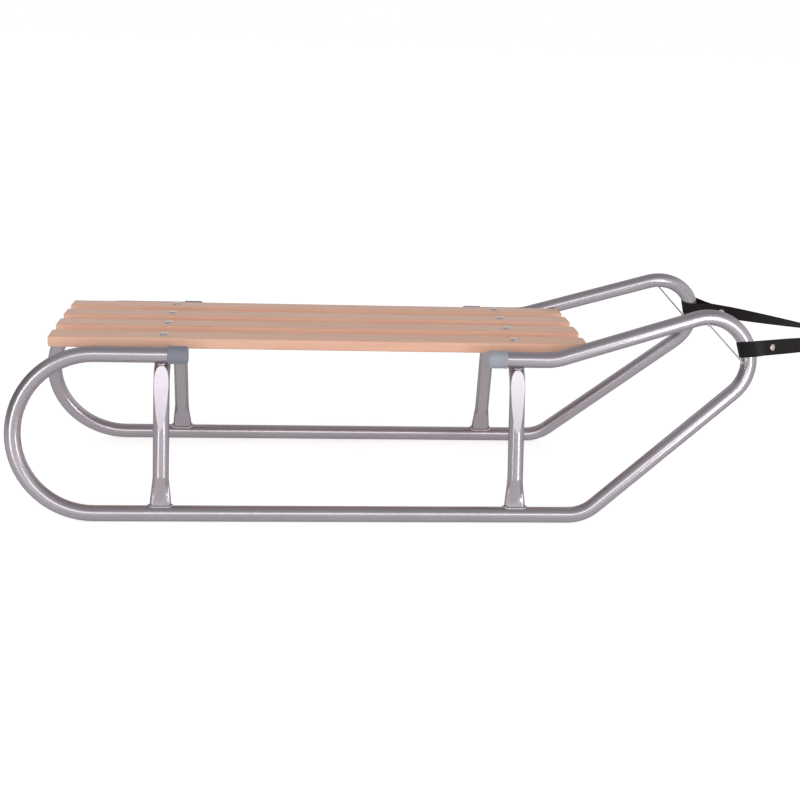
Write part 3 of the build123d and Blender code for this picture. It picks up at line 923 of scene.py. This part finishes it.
    def _wrap(self) -> bpy.types.Object:
        """The right leg's fold round the tube, which leans with the tube."""
        tails = (self.tail, self.rivet_station)
        half_gap = self.thickness / 2
        length = self._fold_length(self.wrap_radius, self.pinch, half_gap, tails)
        band = self._flat_band("strap_wrap_right", 0.0, length)
        for corner in band.data.uv_layers[0].data:
            corner.uv.x -= length + self.tail - self.rivet_station
        self._fold(band, self.wrap_radius, self.pinch, half_gap, tails)
        band_up = self.leg_frame.to_3x3().col[2]
        lean = self.tube_up.dot(self.run) / self.tube_up.dot(band_up)
        for vertex in band.data.vertices:
            share = min(1.0, max(0.0, 1 - vertex.co.x / self.pinch))
            vertex.co.x += lean * vertex.co.z * share * share * (3 - 2 * share)
        Bench.settle(band, self.leg_frame)
        Bench.smooth(band, 50)
        return band

    def _loop(self) -> bpy.types.Object:
        """The hand loop, with its two ends over and under the legs."""
        reach = self.loop_length - self.loop_radius
        tails = (reach + self.loop_lap, reach + self.loop_lap)
        length = self._fold_length(self.loop_radius, reach, self.lap_offset, tails)
        band = self._flat_band("hand_loop_band", 0.0, length)
        self._fold(band, self.loop_radius, reach, self.lap_offset, tails)
        bar = self.meeting + self.forward * reach
        Bench.settle(band, frame_matrix(bar, -self.forward, self.flat_up))
        Bench.smooth(band, 50)
        return band

    def _rivet(self, half_grip: float) -> bpy.types.Object:
        """A domed rivet with a rolled rim, and the burr that its shank is spread over.

        Args:
            half_grip: half the thickness of the webbing that it holds.

        Returns:
            The rivet on the Z axis, with its dome upwards.
        """
        low, high = -half_grip, half_grip
        rings = [
            (1.0, low - 1.15 * MM), (1.7, low - 1.05 * MM), (2.1, low - 0.75 * MM), (2.3, low - 0.55 * MM),
            (4.9, low - 0.62 * MM), (5.3, low - 0.5 * MM), (5.45, low - 0.25 * MM), (5.4, low),
            (2.0, low), (2.0, high), (5.2, high), (5.5, high + 0.25 * MM), (5.45, high + 0.6 * MM),
            (5.1, high + 0.95 * MM), (4.3, high + 1.4 * MM), (3.2, high + 1.8 * MM),
            (1.9, high + 2.08 * MM), (0.6, high + 2.2 * MM),
        ]  # fmt: skip
        return Bench.turned("rivet", [(radius * MM, height) for radius, height in rings], 40)

    def build(self) -> list[bpy.types.Object]:
        """Make the whole strap and dress it.

        Returns:
            Its pieces.
        """
        line = self._line_of("leg_line", self.leg_route())
        leg = self._leg()
        wrap = self._wrap()
        loop = self._loop()
        strap_rivet = self._rivet(self.thickness)
        strap_rivet.name = "strap_rivet_head_right"
        outwards = -self.inwards
        rivet_place = self.leg_frame @ Vector((self.rivet_station, 0, 0))
        Bench.settle(strap_rivet, frame_matrix(rivet_place, self.run, outwards.cross(self.run)))
        loop_rivet = self._rivet(self.lap_offset + self.thickness / 2)
        loop_rivet.name = "loop_rivet_head_right"
        spot = self.meeting - self.forward * self.loop_rivet_back
        spot = spot + Vector((0, -self.loop_rivet_half_spread, 0))
        Bench.settle(loop_rivet, frame_matrix(spot, self.forward, Vector((0, 1, 0))))
        right = [leg, wrap, strap_rivet, loop_rivet]
        left = [Bench.copy(part, part.name.replace("right", "left"), MIRROR) for part in right]
        self._declare(Side.RIGHT, line, *right, loop)
        self._declare(Side.LEFT, [MIRROR @ point for point in line], *left, loop)
        return [loop, *right, *left]

    def _declare(
        self,
        side: Side,
        line: list[Vector],
        leg: bpy.types.Object,
        wrap: bpy.types.Object,
        strap_rivet: bpy.types.Object,
        loop_rivet: bpy.types.Object,
        loop: bpy.types.Object,
    ) -> None:
        """Args:
            side: which side it is.
            line: points along the leg's middle; not used.
            leg, wrap, strap_rivet, loop_rivet: that side's pieces.
            loop: the hand loop, which both sides share.
        """
        for piece in (leg, wrap, loop):
            Bench.dress(piece, self.finish)
        for piece in (strap_rivet, loop_rivet):
            Bench.dress(piece, self.rivet_finish)
        for piece in (leg, wrap, strap_rivet, loop_rivet, loop):
            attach(piece, BODY)
        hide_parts(f"strap_{side.label}")
        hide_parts(f"strap_rivet_{side.label}")
        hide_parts(f"loop_rivet_{side.label}")
        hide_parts("hand_loop")


# ---- welds -----------------------------------------------------------------------------------


@dataclass
class Welds:
    """The rippled beads at the feet, under the rails and at the ends of the keeper wires."""

    tube_radius: float = 12.5 * MM
    foot_half_width: float = 16.5 * MM
    foot_half_thickness: float = 5.5 * MM
    leg_splay: float = math.radians(11.31)
    shoulder_radius: float = 50 * MM
    weld_gap: float = 0.2 * MM
    crown_rise: float = 1.8 * MM
    ripple_step: float = 1.7 * MM
    foot_bead: float = 1.9
    foot_bead_growth: float = 0.5
    foot_bead_wave: float = 0.18
    rail_bead: float = 3.3
    rail_bead_taper: float = 1.1
    rail_bead_wave: float = 0.25
    rail_bead_reach: float = 5.5 * MM
    rail_ripples: int = 9
    skin: float = 0.4 * MM

    def __post_init__(self) -> None:
        """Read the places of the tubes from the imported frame."""
        low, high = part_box("side_frame_right")
        self.runner_y = low.y + self.tube_radius
        cap_low, cap_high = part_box("end_cap_rear_right")
        self.rail = Vector((0, (cap_low.y + cap_high.y) / 2, (cap_low.z + cap_high.z) / 2))
        self.stations = {
            end: sum(corner.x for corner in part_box(f"arch_{end.label}")) / 2 for end in End
        }
        # The beads are sprayed with the tubes' silver lacquer, and this copy of it is lighter: painted
        # highlight.
        self.finish = SilverPaint(
            "weld_paint", shade(204, 199, 204), shade(184, 177, 184), roughness=0.22, peel=0.05 * MM
        ).material()

    def _ripple(self) -> bpy.types.Object:
        """One scale of a bead, as wide as 2 and laid along X."""
        bpy.ops.object.select_all(action="DESELECT")
        bpy.ops.mesh.primitive_uv_sphere_add(segments=16, ring_count=10, radius=1, location=(0, 0, 0))
        ripple = bpy.context.object
        bpy.ops.object.mode_set(mode="EDIT")
        bpy.ops.mesh.select_all(action="SELECT")
        bpy.ops.transform.resize(value=(0.62, 1.0, 0.86))
        bpy.ops.object.mode_set(mode="OBJECT")
        return ripple

    def _bead(self, name: str, steps: Sequence[tuple[Vector, Vector, Vector, float]]) -> bpy.types.Object:
        """A bead of overlapping ripples, melted into one skin.

        Args:
            name: the piece's name.
            steps: for each ripple its place, its travel, its upward direction and its radius.

        Returns:
            The bead.
        """
        ripple = self._ripple()
        scales = []
        for place, travel, upward, radius in steps:
            matrix = frame_matrix(place, travel, upward.cross(travel)) @ Matrix.Scale(radius, 4)
            scales.append(Bench.copy(ripple, name, matrix))
        bpy.data.objects.remove(ripple)
        Bench.take(*scales)
        bpy.ops.object.join()
        bead = bpy.context.object
        bead.name = bead.data.name = name
        Bench.modify(bead, "REMESH", mode="VOXEL", voxel_size=self.skin, use_smooth_shade=True)
        Bench.modify(bead, "SMOOTH", factor=0.5, iterations=2)
        Bench.take(bead)
        bpy.ops.object.shade_smooth()
        return bead

    def _foot_steps(self) -> list[tuple[Vector, Vector, Vector, float]]:
        """The ripples round the right rear foot, on the runner."""
        straight = self.foot_half_width - self.foot_half_thickness
        round_length = math.pi * self.foot_half_thickness
        total = 4 * straight + 2 * round_length
        count = round(total / self.ripple_step)
        centre = Vector((self.stations[End.REAR], self.runner_y, self.tube_radius))
        up = Vector((0, math.sin(self.leg_splay), math.cos(self.leg_splay)))
        out = Vector((0, -up.z, up.y))
        steps = []
        for index in range(count):
            distance = total * index / count
            u, w, travel, normal = self._slot_point(distance, straight, round_length)
            growth = self.foot_bead_growth * abs(u) / self.foot_half_width
            radius = (self.foot_bead + growth + self.foot_bead_wave * math.sin(index * 2.3)) * MM
            w += normal[1] * 0.55 * radius
            u += normal[0] * 0.55 * radius
            height = math.sqrt(self.tube_radius**2 - w * w) + 0.25 * radius
            place = centre + Vector((1, 0, 0)) * u + out * w + up * height
            along = Vector((1, 0, 0)) * travel[0] + out * travel[1]
            steps.append((place, along, up, radius))
        return steps

    def _slot_point(
        self, distance: float, straight: float, round_length: float
    ) -> tuple[float, float, Ring, Ring]:
        """A point of the foot's outline.

        Args:
            distance: how far along the outline the point is.
            straight: half the length of each straight side.
            round_length: the length of each round end.

        Returns:
            The point's two coordinates, its travel and its outward direction.
        """
        thick = self.foot_half_thickness
        if distance < 2 * straight:
            return distance - straight, thick, (1, 0), (0, 1)
        distance -= 2 * straight
        if distance < round_length:
            angle = math.pi / 2 - distance / thick
            across, along = math.cos(angle), math.sin(angle)
            return straight + thick * across, thick * along, (along, -across), (across, along)
        distance -= round_length
        if distance < 2 * straight:
            return straight - distance, -thick, (-1, 0), (0, -1)
        angle = -math.pi / 2 - (distance - 2 * straight) / thick
        across, along = math.cos(angle), math.sin(angle)
        return -straight + thick * across, thick * along, (along, -across), (across, along)

    def _rail_steps(self, outer: bool) -> list[tuple[Vector, Vector, Vector, float]]:
        """The ripples of one bead between the right rail and the rear arch's shoulder.

        Args:
            outer: whether the bead is on the outside of the arch.

        Returns:
            For each ripple its place, its travel, its upward direction and its radius.
        """
        reach = self.rail_bead_reach
        shoulder = self._shoulder_centre()
        steps = []
        count = self.rail_ripples
        for index in range(count):
            along = reach * (2 * index / (count - 1) - 1)
            taper = self.rail_bead_taper * (along / reach) ** 2
            radius = (self.rail_bead - taper + self.rail_bead_wave * math.sin(index * 1.9)) * MM
            tube = math.sqrt(self.tube_radius**2 - along * along)
            place = self._touching(shoulder, self.shoulder_radius + tube + 0.7 * radius, 0.72 * radius, outer)
            upward = (place - self.rail).normalized()
            station = Vector((self.stations[End.REAR] + along, 0, 0))
            steps.append((place + station, Vector((1, 0, 0)), upward, radius))
        return steps

    def _shoulder_centre(self) -> Vector:
        """The middle of the right shoulder's bend, from the arch's box."""
        low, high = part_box("arch_rear")
        crown_top = high.z
        reach = self.shoulder_radius + 2 * self.tube_radius + self.weld_gap
        drop = self.rail.z - (crown_top - self.shoulder_radius - self.tube_radius - self.crown_rise)
        inset = math.sqrt(reach * reach - drop * drop)
        return Vector((0, self.rail.y + inset, self.rail.z - drop))

    def _touching(self, shoulder: Vector, far: float, near: float, outer: bool) -> Vector:
        """Where a bead rests against both the rail and the shoulder.

        Args:
            shoulder: the middle of the shoulder's bend.
            far: the bead's distance from there.
            near: how far the bead's middle stands off the rail.
            outer: whether it is on the outside of the arch.

        Returns:
            The bead's middle, in the arch's plane.
        """
        rail_gap = self.tube_radius + near
        line = shoulder - self.rail
        span = line.length
        along = (rail_gap**2 - far**2 + span**2) / (2 * span)
        across = math.sqrt(max(0.0, rail_gap**2 - along**2))
        direction = line.normalized()
        sideways = Vector((0, -direction.z, direction.y))
        if (sideways.y < 0) != outer:
            sideways = -sideways
        return self.rail + direction * along + sideways * across

    def _tack_steps(self, spot: Vector, wire: Vector) -> list[tuple[Vector, Vector, Vector, float]]:
        """The few ripples of a tack weld at one end of a keeper wire.

        Args:
            spot: the middle of the tack.
            wire: the wire's direction there, out of the tube.

        Returns:
            For each ripple its place, its travel, its upward direction and its radius.
        """
        across = wire.cross(Vector((0, 1, 0))).normalized()
        shifts = ((0.0, 0.0, 3.0), (1.6, 0.6, 2.2), (-1.5, 0.9, 2.1), (0.2, 2.2, 1.9), (-0.2, -1.4, 2.3))
        return [
            (spot + across * side * MM + wire * along * MM, across, wire, radius * MM)
            for side, along, radius in shifts
        ]

    def build(self) -> list[bpy.types.Object]:
        """Lay every bead.

        Returns:
            The beads.
        """
        rear = {
            "foot_weld": self._bead("foot_weld_rear_right", self._foot_steps()),
            "rail_weld_outer": self._bead("rail_weld_outer_rear_right", self._rail_steps(True)),
            "rail_weld_inner": self._bead("rail_weld_inner_rear_right", self._rail_steps(False)),
        }
        step = Matrix.Translation((self.stations[End.FRONT] - self.stations[End.REAR], 0, 0))
        beads = list(rear.values())
        for name, bead in rear.items():
            front = Bench.copy(bead, f"{name}_front_right", step)
            beads.append(front)
            beads.append(Bench.copy(bead, f"{name}_rear_left", MIRROR))
            beads.append(Bench.copy(front, f"{name}_front_left", MIRROR))
        low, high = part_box("keeper_wire_right")
        top = Vector((low.x, high.y - 1.2 * MM, high.z))
        bottom = Vector((high.x, low.y + 1.2 * MM, low.z))
        wire = (top - bottom).normalized()
        for name, spot, away in (("top", top - wire * MM, -wire), ("low", bottom + wire * MM, wire)):
            tack = self._bead(f"wire_tack_{name}_right", self._tack_steps(spot, away))
            beads += [tack, Bench.copy(tack, f"wire_tack_{name}_left", MIRROR)]
        for bead in beads:
            Bench.dress(bead, self.finish)
            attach(bead, BODY)
        return beads


# ---- tubes, boards and wires that the frame carries ------------------------------------------


@dataclass
class TubeWork:
    """The side frames, arches and keeper wires, which keep their CAD shape."""

    nodes: dict[str, bpy.types.Object]

    def dress(self) -> list[bpy.types.Object]:
        """Paint the tubes and give the wires their steel.

        Returns:
            The nodes that were dressed.
        """
        paint = SilverPaint().material()
        wire = DrawnSteel("wire_steel", shade(164, 162, 165), shade(134, 132, 136), 0.34).material()
        dressed = []
        for name, node in self.nodes.items():
            if name.startswith(("side_frame", "arch_")):
                Bench.dress(node, paint)
            elif name.startswith("keeper_wire"):
                Bench.dress(node, wire)
            else:
                continue
            dressed.append(node)
        return dressed


@dataclass
class Seat:
    """The four boards, which keep their CAD shape, each with its own cut of the grain."""

    nodes: dict[str, bpy.types.Object]
    seeds: tuple[float, ...] = (1.0, 2.7, 4.1, 6.3)

    def dress(self) -> list[bpy.types.Object]:
        """Lacquer the boards.

        Returns:
            The boards.
        """
        dressed = []
        for number, seed in enumerate(self.seeds, start=1):
            board = self.nodes[f"slat_{number}"]
            Bench.dress(board, LacqueredBoard(f"lacquered_board_{number}", seed).material())
            dressed.append(board)
        return dressed


@dataclass
class SeatFasteners:
    """The mushroom-head bolts and the chamfered nuts that hold the boards to the arches."""

    crown_radius: float = 3.4
    tube_radius: float = 12.5 * MM
    bearing_gap: float = 0.2 * MM
    board_thickness: float = 17.4 * MM
    nut_height: float = 4 * MM
    nut_width: float = 8 * MM
    nut_chamfer: float = 0.75 * MM
    nut_chamfer_height: float = 0.4 * MM
    bolt_radius: float = 2.5 * MM
    thread_depth: float = 0.35 * MM
    thread_pitch: float = 0.8 * MM
    thread_turns: int = 4
    thread_tail: float = 3.0 * MM

    def _bolt(self) -> bpy.types.Object:
        """One bolt, drawn with its head's seat at height 0 on the Z axis."""
        nut_low = -(self.board_thickness + 2 * self.bearing_gap + 2 * self.tube_radius + self.nut_height)
        end = nut_low - self.thread_tail
        core = self.bolt_radius - self.thread_depth
        rings: list[Ring] = [(core - 0.2 * MM, end), (core, end + 0.2 * MM)]
        for turn in range(self.thread_turns):
            base = end + 0.2 * MM + turn * self.thread_pitch
            rings += [(self.bolt_radius, base + self.thread_pitch / 2), (core, base + self.thread_pitch)]
        rings += [(self.bolt_radius, nut_low + self.nut_height), (self.bolt_radius, 0.0)]
        head = (
            (6.3, 0.0), (6.5, 0.22), (6.48, 0.55), (6.2, 0.95), (5.5, 1.5), (4.5, 2.02),
            (3.3, 2.42), (2.0, 2.68), (0.7, 2.8),
        )  # fmt: skip
        rings += [(radius * MM, height * MM) for radius, height in head]
        return Bench.turned("bolt_model", rings, 40)

    def _nut(self) -> bpy.types.Object:
        """One nut, drawn round its own middle, with its corners turned down at both faces."""
        corner = self.nut_width / 2 / math.cos(math.pi / 6)
        half = self.nut_height / 2
        land = corner - self.nut_chamfer
        lip = half - self.nut_chamfer_height
        nut = Bench.turned("nut_model", [(land, -half), (corner, -lip), (corner, lip), (land, half)], 6)
        Bench.modify(
            nut, "BEVEL", width=0.12 * MM, segments=2, limit_method="ANGLE", angle_limit=math.radians(25)
        )
        Bench.smooth(nut, 30)
        return nut

    def build(self) -> list[bpy.types.Object]:
        """Put a bolt and a nut through every crossing of a board and an arch.

        Returns:
            The bolts and nuts.
        """
        finish = ZincPlate().material()
        bolt, nut = self._bolt(), self._nut()
        nut_distance = self.crown_radius - self.tube_radius - self.bearing_gap - self.nut_height / 2
        head_rise = self.nut_height / 2 + 2 * (self.bearing_gap + self.tube_radius) + self.board_thickness
        pieces = []
        for end in End:
            for number in range(1, 5):
                name = f"{end.label}_{number}"
                low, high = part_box(f"nut_{name}")
                middle = (low + high) / 2
                lean = Matrix.Rotation(-math.asin(middle.y / nut_distance), 4, "X")
                spin = Matrix.Rotation(math.radians(37 * number + 11 * end.value), 4, "Z")
                place = Matrix.Translation(middle) @ lean
                new_nut = Bench.copy(nut, f"hex_nut_{name}", place @ spin)
                seat = place @ Matrix.Translation((0, 0, head_rise))
                new_bolt = Bench.copy(bolt, f"mushroom_bolt_{name}", seat @ spin)
                for piece, node in ((new_nut, f"nut_{name}"), (new_bolt, f"bolt_{name}")):
                    Bench.dress(piece, finish)
                    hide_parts(node)
                    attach(piece, BODY)
                    pieces.append(piece)
        for model in (bolt, nut):
            bpy.data.objects.remove(model)
        return pieces


@dataclass
class RailCaps:
    """The moulded caps on the four open rail ends."""

    length: float = 31 * MM
    bore_radius: float = 12.6 * MM

    def _cap(self) -> bpy.types.Object:
        """One cap on the Z axis, with its mouth at height 0 and its closed end above."""
        bore = self.bore_radius / MM
        rings = (
            (bore, 28.0), (bore, 0.0), (13.7, 0.0), (14.3, 0.35), (14.55, 0.9), (14.55, 1.7),
            (14.3, 2.3), (14.05, 2.7), (14.1, 14.0), (14.1, 26.0), (14.02, 27.6), (13.7, 28.9),
            (13.0, 30.0), (12.0, 30.7), (10.8, 31.0), (4.0, 31.0),
        )  # fmt: skip
        return Bench.turned("cap_model", [(radius * MM, height * MM) for radius, height in rings], 64)

    def build(self) -> list[bpy.types.Object]:
        """Push a cap over each rail end.

        Returns:
            The four caps.
        """
        cap = self._cap()
        # All four caps are one plastic: the rear copy is darker (painted shade) and the front copy is lighter
        # (painted light).
        finishes = {
            End.REAR: CapPlastic("cap_plastic_rear", shade(128, 129, 142), shade(138, 139, 152)).material(),
            End.FRONT: CapPlastic("cap_plastic_front", shade(156, 159, 170), shade(168, 170, 180)).material(),
        }
        pieces = []
        for end in End:
            closed = 1 if end is End.REAR else -1
            for side in Side:
                name = f"{end.label}_{side.label}"
                low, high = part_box(f"end_cap_{name}")
                mouth = Vector((low.x if closed > 0 else high.x, (low.y + high.y) / 2, (low.z + high.z) / 2))
                place = frame_matrix(mouth, Vector((0, 0, -closed)), Vector((0, 1, 0)))
                piece = Bench.copy(cap, f"rail_cap_{name}", place)
                Bench.dress(piece, finishes[end])
                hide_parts(f"end_cap_{name}")
                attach(piece, BODY)
                pieces.append(piece)
        bpy.data.objects.remove(cap)
        return pieces


def main() -> None:
    """Build the sled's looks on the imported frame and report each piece."""
    logging.basicConfig(level=logging.INFO, format="%(name)s: %(message)s")
    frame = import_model()
    ProductCamera().build()
    Studio().build()
    nodes = frame["nodes"]
    made: dict[str, list[bpy.types.Object]] = {
        "pull strap": PullStrap().build(),
        "tube work": TubeWork(nodes).dress(),
        "welds": Welds().build(),
        "seat": Seat(nodes).dress(),
        "seat fasteners": SeatFasteners().build(),
        "rail caps": RailCaps().build(),
    }
    for group, pieces in made.items():
        for piece in pieces:
            LOG.info("%s: %s, %d faces", group, piece.name, len(piece.data.polygons))


if __name__ == "__main__":
    main()
